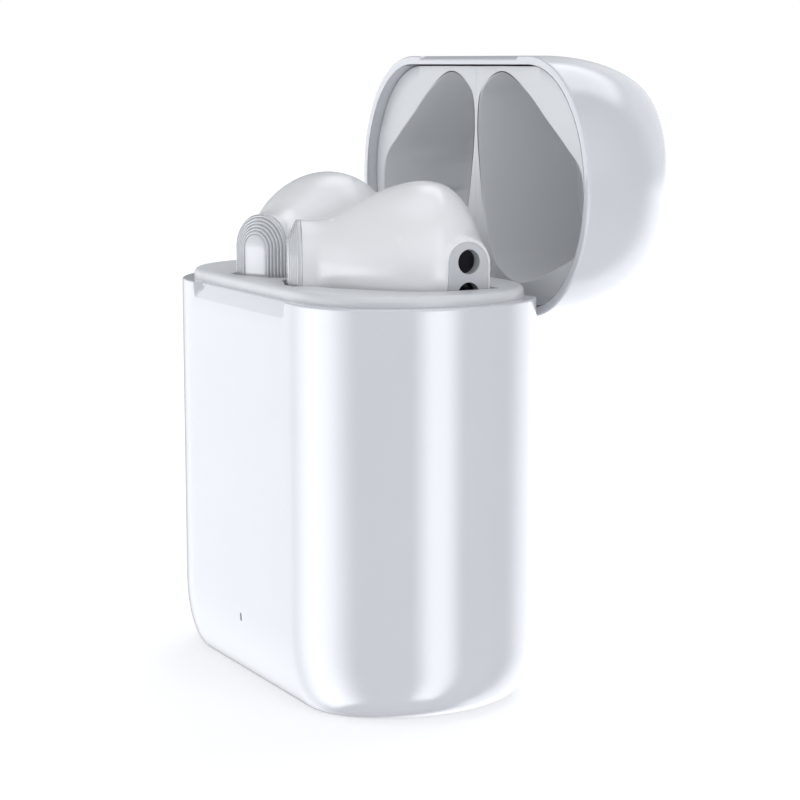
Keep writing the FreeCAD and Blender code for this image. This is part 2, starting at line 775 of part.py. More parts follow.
pocket_inner = common("pocket_inner", pocket_prism("pocket_void", "0", SEAT_PLANE + " - 1"),
                      lid_zone("pocket_zone", "lid_wall + 1.2", "lid_roof + 1.3"))
pocket_outer = common("pocket_outer", pocket_prism("pocket_wall", "0.6", SEAT_PLANE + " + 0.3"),
                      lid_zone("wall_zone", "lid_wall + 0.6", "lid_roof + 0.7"))
liner_right = fuse("liner_right", [liner_plate, pocket_outer])
liner_raw = fuse("liner_raw", [liner_right, mirror("pocket_outer_left", pocket_outer)])
liner_open = cut("liner_open", liner_raw, pocket_inner)
liner_both = cut("liner_both", liner_open, mirror("pocket_inner_left", pocket_inner))
arm_gap = box("arm_gap", "2 * arm_half + 0.3", "2", "30", "0", "hinge_y", "rim_height - 10")
lid_members["lid_liner"] = cut("lid_liner", liner_both, arm_gap)

MAGNET_X = "14"
MAGNET_Y = "-7.3"
lid_magnet = cylinder("lid_magnet_right", "1.3", "1.2", MAGNET_X, MAGNET_Y,
                      "rim_height + liner_recess + liner_thick")
lid_members["lid_magnets"] = join("lid_magnets", [lid_magnet, mirror("lid_magnet_left", lid_magnet)])

LINER_TOP = "(rim_height + liner_recess + liner_thick)"
arm_barrel = cylinder("arm_barrel", "barrel_radius", "2 * arm_half", "-arm_half", "hinge_y", "hinge_z",
                      (1, 0, 0))
arm_strut = box("arm_strut", "2 * arm_half", "0.85", LINER_TOP + " - hinge_z + 0.8", "0",
                "hinge_y - 0.475", "hinge_z")
arm_foot = box("arm_foot", "6", "1.5", "0.8", "0", "hinge_y - 0.8", LINER_TOP)
arm_bore = cylinder("arm_bore", "pin_radius + barrel_play", "20", "-10", "hinge_y", "hinge_z", (1, 0, 0))
arm_solid = fuse("arm_solid", [arm_barrel, arm_strut, arm_foot])
lid_members["lid_hinge_arm"] = cut("lid_hinge_arm", arm_solid, arm_bore)

for name, thing in lid_members.items():
    thing.Placement = Placement(Vector(), Rotation(Vector(-1, 0, 0), 90))
    bind(thing, "Placement.Rotation.Angle", "open_angle")
    swing_y = "hinge_y - (hinge_y * cos(open_angle * 1deg) + hinge_z * sin(open_angle * 1deg))"
    swing_z = "hinge_z - (hinge_z * cos(open_angle * 1deg) - hinge_y * sin(open_angle * 1deg))"
    place(thing, 0, swing_y, swing_z)
    keep(name, thing)

# ----------------------------------------------------------- hinge, case side
HINGE_Y = "hinge_y"
KNUCKLE = "(knuckle_end - knuckle_start)"
knuckle_right = cylinder("knuckle_right", "barrel_radius", KNUCKLE, "knuckle_start", HINGE_Y, "hinge_z",
                         (1, 0, 0))
knuckle_left = mirror("knuckle_left", knuckle_right)
ear_right = box("ear_right", KNUCKLE, "0.75", "hinge_z - 26", "(knuckle_end + knuckle_start) / 2",
                "hinge_y - 0.825", "26")
ear_left = mirror("ear_left", ear_right)
bracket_web = box("bracket_web", "2 * knuckle_end", "0.75", "hinge_z - 1.3 - 26", "0",
                  "hinge_y - 0.825", "26")
bracket_solid = fuse("bracket_solid", [knuckle_right, knuckle_left, ear_right, ear_left, bracket_web])
bracket_bore = cylinder("bracket_bore", "pin_radius", "20", "-10", HINGE_Y, "hinge_z", (1, 0, 0))
screw_clear = cylinder("screw_clear", "0.45", "4", "5.5", "hinge_y - 2", "29", (0, 1, 0))
bracket_voids = fuse("bracket_voids", [bracket_bore, screw_clear, mirror("screw_clear_left", screw_clear)])
keep("hinge_bracket", cut("hinge_bracket", bracket_solid, bracket_voids))
keep("hinge_pin", cylinder("hinge_pin", "pin_radius", "2 * knuckle_end", "-knuckle_end", HINGE_Y,
                           "hinge_z", (1, 0, 0)))


def screw(name, head_radius, head_tall, shank_radius, shank_long, x, y, z, axis):
    """Screw whose head starts at x, y, z and whose shank runs on along the axis."""
    head = cylinder(name + "_head", head_radius, head_tall, x, y, z, axis)
    run = ["(%s) + (%s) * %s" % (spot, head_tall, part) for spot, part in zip((x, y, z), axis)]
    shank = cylinder(name + "_shank", shank_radius, shank_long, run[0], run[1], run[2], axis)
    slot_spots = ["(%s) + (%s) / 2 * %s" % (spot, head_tall, part) for spot, part in zip((x, y, z), axis)]
    drive = cylinder(name + "_drive", "(%s) * 0.4" % head_radius, head_tall, slot_spots[0], slot_spots[1],
                     slot_spots[2], tuple(-part for part in axis))
    return cut(name, fuse(name + "_solid", [head, shank]), drive)


bracket_screw = screw("bracket_screw", "0.85", "0.6", "0.4", "1.6", "5.5", "hinge_y - 1.8", "29",
                      (0, 1, 0))
keep("bracket_screws", join("bracket_screws",
                            [bracket_screw, mirror("bracket_screw_left", bracket_screw)]))

# ------------------------------------------------------- board, port and power
BOARD_TOP = "(board_base + board_thick)"
board = new_body("main_board")
board_outline = polygon_sketch(board, "board_outline", "XY_Plane", [
    ("-board_length / 2", "-board_width / 2"), ("board_length / 2", "-board_width / 2"),
    ("board_length / 2", "board_width / 2"), ("-board_length / 2", "board_width / 2"),
], "board_base")
pad(board, "board_pad", board_outline, "board_thick")
doc.recompute()


fillet(board, "board_corners", edges_where(board.Tip.Shape, upright), 2.0)
board_holes = circle_sketch(board, "board_holes", "XY_Plane", BOARD_TOP, CORNERS, "0.6")
pocket(board, "board_bores", board_holes, "2")
keep("main_board", board)

board_screws = [screw("board_screw_%d" % i, "1.0", "0.8", "0.4", "3.4", x, y, BOARD_TOP + " + 0.8",
                      (0, 0, -1)) for i, (x, y) in enumerate(CORNERS)]
keep("board_screws", join("board_screws", board_screws))

port = new_body("charging_port")
port_spots = (("-" + port_reach, "0"), (port_reach, "0"))
pad(port, "port_can", slot_sketch(port, "port_can_outline", "XY_Plane", "port_base", port_spots[0],
                                  port_spots[1], "port_depth / 2"), "board_base - port_base")
doc.recompute()
port_bore = slot_sketch(port, "port_bore_outline", "XY_Plane", "board_base - 0.5", port_spots[0],
                        port_spots[1], "port_depth / 2 - 0.3")
pocket(port, "port_bore", port_bore, "8")
keep("charging_port", port)
keep("port_tongue", box("port_tongue", "6.7", "0.7", "board_base - 0.5 - 1.2", "0", "0", "1.2"))
keep("charge_chip", box("charge_chip", "3.2", "3.2", "0.8", "9", "0", "board_base - 0.8"))
keep("status_led", box("status_led", "1.6", "0.9", "0.7", "0", "-7.5", "board_base - 0.7"))

pipe = new_body("light_pipe")
pipe_outline = slot_sketch(pipe, "pipe_outline", "XZ_Plane", "half_width - 0.03",
                           ("0", "light_height - (light_tall - light_width) / 2"),
                           ("0", "light_height + (light_tall - light_width) / 2"), "light_width / 2")
pad(pipe, "pipe_pad", pipe_outline, "case_wall + 0.4", backwards=True)
pipe_back = polygon_sketch(pipe, "pipe_back_outline", "XZ_Plane", [
    ("-0.7", "light_height - 0.7"), ("0.7", "light_height - 0.7"),
    ("0.7", "light_height + 0.55"), ("-0.7", "light_height + 0.55"),
], "half_width - case_wall - 0.1")
pad(pipe, "pipe_back", pipe_back, "2.8", backwards=True)
keep("light_pipe", pipe)

keep("battery_foam", box("battery_foam", "18", "5", "battery_base - board_base - board_thick", "0",
                         "battery_y", BOARD_TOP))
battery = new_body("case_battery")
battery_outline = polygon_sketch(battery, "battery_outline", "XY_Plane", [
    ("-battery_length / 2", "battery_y - battery_width / 2"),
    ("battery_length / 2", "battery_y - battery_width / 2"),
    ("battery_length / 2", "battery_y + battery_width / 2"),
    ("-battery_length / 2", "battery_y + battery_width / 2"),
], "battery_base")
pad(battery, "battery_pad", battery_outline, "battery_tall")
doc.recompute()
fillet(battery, "battery_corners", edges_where(battery.Tip.Shape, upright), 2.4)
keep("case_battery", battery)

case_magnet = cylinder("case_magnet_right", "1.0", "1.2", "13.3", "-6.5",
                       "rim_height + tray_rise - deck_thick - 1.2")
keep("case_magnets", join("case_magnets", [case_magnet, mirror("case_magnet_left", case_magnet)]))
keep("hall_sensor", box("hall_sensor", "1.6", "1", "0.8", "10.5", "-8.1",
                        "rim_height + tray_rise - deck_thick - 0.8"))

# ------------------------------------------- one earbud and what serves it
buds = {}
cap = new_body("touch_cap")
rim_sketch = slot_sketch(cap, "cap_rim_outline", "XZ_Plane", "0", ("0", FACE_LOW), ("0", FACE_HIGH),
                         "face_width / 2")
pad(cap, "cap_rim", rim_sketch, "rim_thick", backwards=True)
doc.recompute()
for i in range(1, int(size("step_count")) + 1):
    rib = slot_sketch(cap, "rib_outline_%d" % i, "XZ_Plane", "step_rise * %d - 0.05" % (i - 1),
                      ("0", FACE_LOW), ("0", FACE_HIGH), "face_width / 2 - step_tread * %d" % i)
    pad(cap, "rib_%d" % i, rib, "step_rise + 0.05")
stand_turned(cap)
buds["touch_cap"] = cap

stem_inner_rod = cylinder("stem_inner_rod", "stem_radius - stem_wall", "18", stem_east, stem_north,
                          "stem_base - 1")
stem_mouth = upright_prism("stem_mouth", "4.2", "rim_thick + 0.7", "3.4", "30", "38.5")
stem_clip = cylinder("stem_clip", "stem_radius + 1", "tip_tall + 1", stem_east, stem_north,
                     "stem_base - 1")
stem_voids = fuse("stem_voids", [stem_inner_rod, stem_mouth, stem_clip])
buds["stem_shell"] = cut("stem_shell", stem_solid, stem_voids)

tip_disc = cylinder("tip_disc", "stem_radius", "tip_tall", stem_east, stem_north, "stem_base")
tip_round = doc.addObject("Part::Fillet", "tip_round")
tip_round.Base = tip_disc
doc.recompute()
low_edge = [i + 1 for i, edge in enumerate(tip_disc.Shape.Edges)
            if edge.BoundBox.ZMax < size("stem_base") + 0.01][0]
tip_round.Edges = [(low_edge, 0.5, 0.5)]
tip_spigot = cylinder("tip_spigot", "stem_radius - stem_wall - 0.05", "1.2", stem_east, stem_north,
                      "stem_base + tip_tall")
pads = []
for i, across in enumerate(PIN_SPOTS):
    east, north = local("stem_back", across)
    pads.append(cylinder("contact_%d" % i, "0.75", "0.3", east, north, "stem_base"))
contacts = join("charge_contacts", pads)
mic_hole = cylinder("mic_hole", "0.3", "2", local("stem_back", "0")[0],
                    local("stem_back + 1.6", "0")[1], "stem_base - 1")
tip_voids = fuse("tip_voids", pads + [mic_hole])
buds["stem_tip"] = cut("stem_tip", fuse("tip_solid", [tip_round, tip_spigot]), tip_voids)
buds["charge_contacts"] = contacts
buds["stem_magnet"] = cylinder("stem_magnet", "1.9", "2.4", stem_east, stem_north,
                               "stem_base + tip_tall + 1.3")
buds["stem_board"] = upright_prism("stem_board", "3.2", "stem_back - 0.3", "stem_back + 0.3",
                                   "stem_base + tip_tall + 3.8", "32.5")

plate_bore_box = box("plate_bore_box", "6", "2 * plate_half + 0.04",
                     "plate_upper - sight_lower", "plate_x - 1", "plate_y", "sight_lower")
plate_bore_low = cylinder("plate_bore_low", "plate_half + 0.02", "6", "plate_x - 4", "plate_y",
                          "sight_lower", (1, 0, 0))
plate_bore_high = cylinder("plate_bore_high", "plate_half + 0.02", "6", "plate_x - 4", "plate_y",
                           "plate_upper", (1, 0, 0))
plate_bore = fuse("plate_bore", [plate_bore_box, plate_bore_low, plate_bore_high])
head_hollow = cut("head_hollow", cut("head_behind_stem", cut("head_skin", head_solid, head_void), stem_solid),
                  plate_bore)
upper_zone = box("upper_zone", 40, 40, 20, "head_x", "head_y", "head_split")
lower_zone = box("lower_zone", 40, 40, 20, "head_x", "head_y", "head_split - 20")
buds["head_shell"] = common("head_shell", head_hollow, upper_zone)
grille_bore = cylinder("grille_bore", "grille_radius + 0.02", "4", "head_x", "head_y", "29.5")
buds["head_base"] = cut("head_base", common("head_lower", head_hollow, lower_zone), grille_bore)

grille_disc = cylinder("grille_disc", "grille_radius", "0.4", "head_x", "head_y", "31.4")
grille_holes = []
for ring, count in ((0.0, 1), (0.9, 6), (1.8, 10)):
    for i in range(count):
        turn = 2 * math.pi * i / count
        grille_holes.append(cylinder("grille_hole_%d_%d" % (count, i), "0.25", "1",
                                     "head_x + %.4f" % (ring * math.cos(turn)),
                                     "head_y + %.4f" % (ring * math.sin(turn)), "31.1"))
buds["speaker_grille"] = cut("speaker_grille", grille_disc, join("grille_hole_set", grille_holes))
buds["speaker_driver"] = cylinder("speaker_driver", "driver_radius", "2.2", "head_x", "head_y - 0.3", "34.3")
buds["bud_battery"] = cylinder("bud_battery", "cell_radius", "3.4", "head_x", "head_y", "37.3")
buds["head_board"] = cylinder("head_board", "3.5", "0.6", "head_x", "head_y", "41.4")

plate = new_body("sensor_plate")
plate_outline = slot_sketch(plate, "plate_outline", "YZ_Plane", "plate_root",
                            ("plate_y", "sight_lower"), ("plate_y", "plate_upper"), "plate_half")
pad(plate, "plate_pad", plate_outline, "plate_x - plate_root")
doc.recompute()


def outer_rim(edge):
    return edge.BoundBox.XMin > size("plate_x") - 0.01


fillet(plate, "plate_round", edges_where(plate.Tip.Shape, outer_rim), 0.3)
sight_outline = circle_sketch(plate, "sight_outline", "YZ_Plane", "plate_x",
                              [("plate_y", "sight_lower"), ("plate_y", "sight_upper")], "sight_radius")
pocket(plate, "sights", sight_outline, "sight_deep")
buds["sensor_plate"] = plate
windows = [cylinder("window_%s" % spot, "sight_radius - 0.02", "0.2", "plate_x - sight_deep",
                    "plate_y", spot, (1, 0, 0)) for spot in ("sight_lower", "sight_upper")]
buds["sensor_windows"] = join("sensor_windows", windows)

buds["well_magnet"] = box("well_magnet", "3.4", "1.2", "5", "4.6", "0.05", "18")
pogo_block_box = upright_prism("pogo_block_box", "4.8", "stem_back - 1.2", "stem_back + 1.2",
                               BOARD_TOP, "stem_base - seat_gap - seat_wall - 0.05")
pogo_bores = []
for i, across in enumerate(PIN_SPOTS):
    east, north = local("stem_back", across)
    pogo_bores.append(cylinder("pogo_bore_%d" % i, "pogo_radius + 0.05", "10", east, north,
                               BOARD_TOP + " + 1"))
    buds["pogo_pin_%s" % ("inner", "outer")[i]] = cylinder("pogo_pin_%d" % i, "pogo_radius",
                                                          "pogo_top - 9.5", east, north, "9.5")
buds["pogo_block"] = cut("pogo_block", pogo_block_box, fuse("pogo_bore_pair", pogo_bores))

for name, thing in buds.items():
    other = mirror("left_" + name, thing)
    keep("right_" + name, thing)
    keep("left_" + name, other)


# ------------------------------------------------------------------- writing
doc.recompute()
for thing in doc.Objects:
    bad = [word for word in thing.State if word in ("Invalid", "Error")]
    if bad:
        raise RuntimeError("%s is %s" % (thing.Name, bad))
for name, thing in nodes.items():
    if thing.Shape.isNull() or not thing.Shape.isValid() or thing.Shape.Volume <= 0:
        raise RuntimeError(name + " has no sound shape")

os.makedirs("parts", exist_ok=True)
for name, thing in nodes.items():
    thing.Shape.exportStep("parts/" + name + ".step")
    reach = thing.Shape.optimalBoundingBox(False)
    print("%-24s volume %9.2f  x %7.2f %7.2f  y %7.2f %7.2f  z %7.2f %7.2f" % (
        name, thing.Shape.Volume, reach.XMin, reach.XMax, reach.YMin, reach.YMax, reach.ZMin, reach.ZMax))
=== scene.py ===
import bpy
import math
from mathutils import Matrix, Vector


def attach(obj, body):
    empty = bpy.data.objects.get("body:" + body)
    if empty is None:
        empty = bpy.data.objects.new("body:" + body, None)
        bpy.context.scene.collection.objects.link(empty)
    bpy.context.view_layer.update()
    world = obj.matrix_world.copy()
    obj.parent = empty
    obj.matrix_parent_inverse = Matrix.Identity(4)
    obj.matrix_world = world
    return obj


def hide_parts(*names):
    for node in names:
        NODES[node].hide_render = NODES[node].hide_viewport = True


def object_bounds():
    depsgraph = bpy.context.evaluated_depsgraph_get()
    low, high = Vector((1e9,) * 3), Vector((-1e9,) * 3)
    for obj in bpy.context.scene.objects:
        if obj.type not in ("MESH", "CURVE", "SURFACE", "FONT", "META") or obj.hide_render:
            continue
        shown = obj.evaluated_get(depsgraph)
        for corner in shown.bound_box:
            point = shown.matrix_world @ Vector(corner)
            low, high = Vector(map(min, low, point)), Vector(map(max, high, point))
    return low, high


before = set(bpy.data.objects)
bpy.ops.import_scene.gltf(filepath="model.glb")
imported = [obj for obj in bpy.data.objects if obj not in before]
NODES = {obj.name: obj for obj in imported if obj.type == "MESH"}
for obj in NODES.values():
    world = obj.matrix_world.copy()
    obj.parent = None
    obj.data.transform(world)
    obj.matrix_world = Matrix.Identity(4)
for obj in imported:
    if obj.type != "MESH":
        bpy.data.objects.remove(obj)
cad_low, cad_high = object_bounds()
scene = bpy.context.scene
MM = 0.001

# ---------------------------------------------------------------- camera
CAMERA_SPOT = Vector((170.6, -87.7, 55.5)) * MM
CAMERA_YAW = math.radians(61.5)
CAMERA_DIP = math.radians(9.06)

camera = bpy.data.objects.new("camera", bpy.data.cameras.new("camera"))
camera.data.lens = 95.25
camera.data.sensor_width = 36
camera.data.clip_start = 0.01
camera.data.clip_end = 20
back = Vector((math.sin(CAMERA_YAW) * math.cos(CAMERA_DIP),
               -math.cos(CAMERA_YAW) * math.cos(CAMERA_DIP),
               math.sin(CAMERA_DIP)))
camera.rotation_mode = "QUATERNION"
camera.rotation_quaternion = (-back).to_track_quat("-Z", "Y")
camera.location = CAMERA_SPOT
scene.collection.objects.link(camera)
scene.camera = camera
scene.view_settings.view_transform = "Standard"


# ------------------------------------------------------------- materials
NOISE_ROUGHNESS = 0.55
NOISE_LOW, NOISE_HIGH = 0.3, 0.7  # the span of a noise that is stretched over a ramp
GRAIN = 900.0
FLOW_DEPTH = 2e-6


def new_tree(name):
    material = bpy.data.materials.new(name)
    material.use_nodes = True
    tree = material.node_tree
    shader = tree.nodes["Principled BSDF"]
    place = tree.nodes.new("ShaderNodeTexCoord")
    return material, tree, shader, place.outputs["Object"]


def noise(tree, place, scale, detail):
    node = tree.nodes.new("ShaderNodeTexNoise")
    node.inputs["Scale"].default_value = scale
    node.inputs["Detail"].default_value = detail
    node.inputs["Roughness"].default_value = NOISE_ROUGHNESS
    tree.links.new(place, node.inputs["Vector"])
    return node.outputs["Fac"]


def ramp(tree, value, low, high):
    """Colour drift between two colours."""
    node = tree.nodes.new("ShaderNodeValToRGB")
    stops = node.color_ramp.elements
    for stop, at, colour in zip(stops, (NOISE_LOW, NOISE_HIGH), (low, high)):
        stop.position = at
        stop.color = (*colour, 1)
    tree.links.new(value, node.inputs["Fac"])
    return node.outputs["Color"]


def spread(tree, value, low, high):
    """A noise stretched between two values."""
    node = tree.nodes.new("ShaderNodeMapRange")
    node.inputs["From Min"].default_value = NOISE_LOW
    node.inputs["From Max"].default_value = NOISE_HIGH
    node.inputs["To Min"].default_value = low
    node.inputs["To Max"].default_value = high
    tree.links.new(value, node.inputs["Value"])
    return node.outputs["Result"]


def bump(tree, value, depth, before=None):
    node = tree.nodes.new("ShaderNodeBump")
    node.inputs["Distance"].default_value = depth
    node.inputs["Strength"].default_value = 1.0
    tree.links.new(value, node.inputs["Height"])
    if before is not None:
        tree.links.new(before, node.inputs["Normal"])
    return node.outputs["Normal"]


def moulded(name, dark, light, rough, depth=2e-6, coat=0.0, coat_rough=0.05, specular=0.5):
    """Moulded plastic: slight colour drift, uneven polish, long soft flow waves and fine grain."""
    material, tree, shader, place = new_tree(name)
    drift = noise(tree, place, 55, 2)
    tree.links.new(ramp(tree, drift, dark, light), shader.inputs["Base Color"])
    polish = noise(tree, place, 240, 4)
    tree.links.new(spread(tree, polish, rough[0], rough[1]), shader.inputs["Roughness"])
    flow = noise(tree, place, 90, 1)
    normal = bump(tree, flow, FLOW_DEPTH)
    normal = bump(tree, noise(tree, place, GRAIN * 4, 3), depth, normal)
    tree.links.new(normal, shader.inputs["Normal"])
    shader.inputs["IOR"].default_value = 1.5
    shader.inputs["Specular IOR Level"].default_value = specular
    shader.inputs["Metallic"].default_value = 0.0
    shader.inputs["Coat Weight"].default_value = coat
    shader.inputs["Coat Roughness"].default_value = coat_rough
    return material


def metal(name, dark, light, rough, along=(1, 1, 1), depth=3e-6):
    """Metal with drawn lines where the coordinates are stretched, and cast grain otherwise."""
    material, tree, shader, place = new_tree(name)
    stretch = tree.nodes.new("ShaderNodeMapping")
    stretch.inputs["Scale"].default_value = along
    tree.links.new(place, stretch.inputs["Vector"])
    lines = noise(tree, stretch.outputs["Vector"], GRAIN, 4)
    tree.links.new(ramp(tree, lines, dark, light), shader.inputs["Base Color"])
    tree.links.new(spread(tree, lines, rough[0], rough[1]), shader.inputs["Roughness"])
    tree.links.new(bump(tree, lines, depth), shader.inputs["Normal"])
    shader.inputs["Metallic"].default_value = 1.0
    return material


MATERIALS = {
    "shell_white": moulded("shell_white", (0.625, 0.637, 0.665), (0.645, 0.657, 0.685),
                           (0.06, 0.10), coat=0.6),
    "bud_white": moulded("bud_white", (0.81, 0.81, 0.82), (0.83, 0.83, 0.84),
                         (0.22, 0.28), coat=0.3, coat_rough=0.22),
    "tray_grey": moulded("tray_grey", (0.68, 0.69, 0.705), (0.71, 0.72, 0.735),
                         (0.28, 0.38), depth=4e-6),
    "liner_grey": moulded("liner_grey", (0.69, 0.70, 0.715), (0.72, 0.73, 0.745),
                          (0.30, 0.42), depth=4e-6),
    "cap_pearl": moulded("cap_pearl", (0.60, 0.61, 0.63), (0.64, 0.65, 0.67),
                         (0.10, 0.16), coat=0.4),
    "plate_grey": moulded("plate_grey", (0.52, 0.53, 0.55), (0.55, 0.56, 0.58),
                          (0.35, 0.45), depth=5e-6),
    "sight_black": moulded("sight_black", (0.004, 0.004, 0.006), (0.008, 0.008, 0.012),
                           (0.05, 0.12), specular=0.3),
    "arm_white": moulded("arm_white", (0.60, 0.61, 0.63), (0.64, 0.65, 0.67), (0.3, 0.4)),
    "chip_black": moulded("chip_black", (0.015, 0.015, 0.017), (0.03, 0.03, 0.033),
                          (0.4, 0.6), depth=8e-6),
    "board_green": moulded("board_green", (0.012, 0.09, 0.045), (0.02, 0.12, 0.06),
                           (0.25, 0.4), coat=0.3),
    "foam_black": moulded("foam_black", (0.01, 0.01, 0.01), (0.03, 0.03, 0.03),
                          (0.8, 0.95), depth=4e-5),
    "light_clear": moulded("light_clear", (0.10, 0.11, 0.12), (0.14, 0.15, 0.16), (0.15, 0.25)),
    "driver_black": moulded("driver_black", (0.02, 0.02, 0.022), (0.04, 0.04, 0.043), (0.4, 0.5)),
    "hinge_steel": metal("hinge_steel", (0.50, 0.50, 0.51), (0.62, 0.62, 0.63),
                         (0.18, 0.32), along=(0.08, 1, 1)),
    "contact_gold": metal("contact_gold", (0.80, 0.55, 0.22), (0.90, 0.66, 0.30), (0.15, 0.28)),
    "magnet_nickel": metal("magnet_nickel", (0.60, 0.58, 0.55), (0.70, 0.68, 0.64), (0.10, 0.2)),
    "cell_foil": metal("cell_foil", (0.60, 0.61, 0.63), (0.72, 0.73, 0.75),
                       (0.25, 0.45), depth=2e-5),
    "grille_steel": metal("grille_steel", (0.20, 0.20, 0.21), (0.32, 0.32, 0.33), (0.3, 0.45)),
}

for thing in NODES.values():
    slot_name = thing.data.materials[0].name.split(".")[0]
    thing.data.materials[0] = MATERIALS[slot_name]


# ------------------------------------------------------------- mesh helpers
def make_piece(name, verts, faces, slot_name, body, stands_for, sharp=40.0):
    """A mesh in millimetres becomes a piece that rides on a body and stands for CAD nodes."""
    mesh = bpy.data.meshes.new(name)
    mesh.from_pydata([Vector(v) * MM for v in verts], [], faces)
    mesh.validate()
    mesh.update()
    mesh.shade_smooth()
    mesh.set_sharp_from_angle(angle=math.radians(sharp))
    thing = bpy.data.objects.new(name, mesh)
    scene.collection.objects.link(thing)
    mesh.materials.append(MATERIALS[slot_name])
    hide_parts(*stands_for)
    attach(thing, body)
    return thing


def skin(rings, start=True):
    """Quads between closed rings of equal length, with a fan at the end and maybe the start."""
    count = len(rings[0])
    verts = [point for ring in rings for point in ring]
    faces = []
    for r in range(len(rings) - 1):
        for i in range(count):
            j = (i + 1) % count
            a, b = r * count, (r + 1) * count
            faces.append((a + i, a + j, b + j, b + i))
    ends = [(0, True)] if start else []
    ends.append(((len(rings) - 1) * count, False))
    for base, flip in ends:
        ring = verts[base:base + count]
        verts.append(tuple(sum(p[k] for p in ring) / count for k in range(3)))
        tip = len(verts) - 1
        for i in range(count):
            j = (i + 1) % count
            faces.append((base + j, base + i, tip) if flip else (base + i, base + j, tip))
    return verts, faces


def smooth_loop(points, steps):
    """Closed smooth curve through a few listed points."""
    count = len(points)
    found = []
    for i in range(count):
        p0, p1, p2, p3 = (points[(i + k) % count] for k in (-1, 0, 1, 2))
        for s in range(steps):
            t = s / steps
            found.append(tuple(
                0.5 * (2 * b + (c - a) * t + (2 * a - 5 * b + 4 * c - d) * t * t
                       + (3 * b - a - 3 * c + d) * t ** 3)
                for a, b, c, d in zip(p0, p1, p2, p3)))
    return found


def curve_value(stations, at, column):
    """Smooth value between stations, whose first column is the distance along."""
    last = len(stations) - 1
    spot = max(i for i in range(last) if stations[i][0] <= at or i == 0)
    near = [stations[min(max(spot + k, 0), last)] for k in (-1, 0, 1, 2)]
    span = near[2][0] - near[1][0]
    t = min(max((at - near[1][0]) / span, 0), 1)
    rise_a = (near[2][column] - near[0][column]) / max(near[2][0] - near[0][0], 1e-6) * span
    rise_b = (near[3][column] - near[1][column]) / max(near[3][0] - near[1][0], 1e-6) * span
    p, q = near[1][column], near[2][column]
    return ((2 * t ** 3 - 3 * t * t + 1) * p + (t ** 3 - 2 * t * t + t) * rise_a
            + (3 * t * t - 2 * t ** 3) * q + (t ** 3 - t * t) * rise_b)


def ease(value, start, end):
    t = min(max((value - start) / (end - start), 0), 1)
    return t * t * (3 - 2 * t)


def soft_max(a, b, blend):
    """The larger of two values, with a rounded change-over as wide as blend."""
    share = max(blend - abs(a - b), 0) / blend
    return max(a, b) + share * share * blend / 4


def soft_min(a, b, blend):
    return -soft_max(-a, -b, blend)


# ----------------------------------------------------- the case's plan outline
FLAT_HALF, END_REACH, HALF_WIDTH, RIM = 10.6, 10.0, 11.5, 35.5
END_STEPS = 72
LID_TOP = 48.5
HINGE = (10.5, 34.1)
# elliptical roundings: how far they come in and how far up they reach, lengthways and across
DOME_X, DOME_Y = (9.0, 11.9), (5.7, 11.4)
FOOT_X, FOOT_Y = (3.3, 4.7), (2.1, 7.0)
LID_WALL, LID_ROOF = 0.8, 1.1


def flat_spots(edges):
    """Places along the straight front, closer together at a notch's ends."""
    spots = [-FLAT_HALF + 2 * FLAT_HALF * i / 40 for i in range(41)]
    for edge in edges:
        for k in range(-6, 7):
            spots += [edge + 0.07 * k, -edge + 0.07 * k]
    return sorted(set(round(s, 4) for s in spots if abs(s) <= FLAT_HALF))


def plan(in_x, in_y, inset, edges=()):
    """The stadium-like outline, counter-clockwise from the front left, brought in by sizes."""
    a, b = END_REACH - in_x - inset, HALF_WIDTH - in_y - inset
    front = flat_spots(edges)
    found = [(x, -b) for x in front]
    turns = [math.pi * i / END_STEPS for i in range(1, END_STEPS)]
    found += [(FLAT_HALF + a * math.sin(turn), -b * math.cos(turn)) for turn in turns]
    found += [(x, b) for x in reversed(front)]
    found += [(-FLAT_HALF - a * math.sin(turn), b * math.cos(turn)) for turn in turns]
    return found


def tuck(rounding, along):
    """How far an elliptical rounding comes in, at a distance from its end."""
    most, reach = rounding
    rest = max(1 - along / reach, 0)
    return most * (1 - math.sqrt(max(1 - rest * rest, 0)))


def opened(point):
    """A point of the closed lid, turned about the hinge to where the lid stands open."""
    x, y, z = point
    return (x, HINGE[0] + z - HINGE[1], HINGE[1] - y + HINGE[0])


def dome_ring(z, inset, lowered, edges=()):
    below = LID_TOP - lowered - z
    return plan(tuck(DOME_X, below), tuck(DOME_Y, below), inset, edges)


def dome_heights(lowered):
    """Heights down the dome, closer together at the top."""
    steps = 26
    return [LID_TOP - lowered - DOME_X[1] * (1 - math.cos(math.pi / 2 * i / steps))
            for i in range(steps + 1)]


def level(outline, z):
    """The outline as a ring at one height."""
    return [(x, y, z) for x, y in outline]


def cap_rings(ring, z, steps=6):
    """Rings that close a flat top or bottom towards its middle line."""
    return [[(x * (0.04 + 0.96 * s / steps), y * s / steps, z) for x, y in ring]
            for s in range(1, steps)]


# ------------------------------------------------------------------ lid shell
LID_NOTCH = (8.8, 0.7, 0.3)  # half length, rise and depth
NOTCH_BLEND = 0.22


def lid_notch(point):
    """Thumb notch of the lid: the lip slopes in along the front."""
    x, y, z = point
    half, rise, deep = LID_NOTCH
    if y > 0 or z > RIM + rise:
        return point
    window = 1 - ease(abs(x), half - NOTCH_BLEND, half + NOTCH_BLEND)
    return (x, y + deep * (1 - (z - RIM) / rise) * window, z)


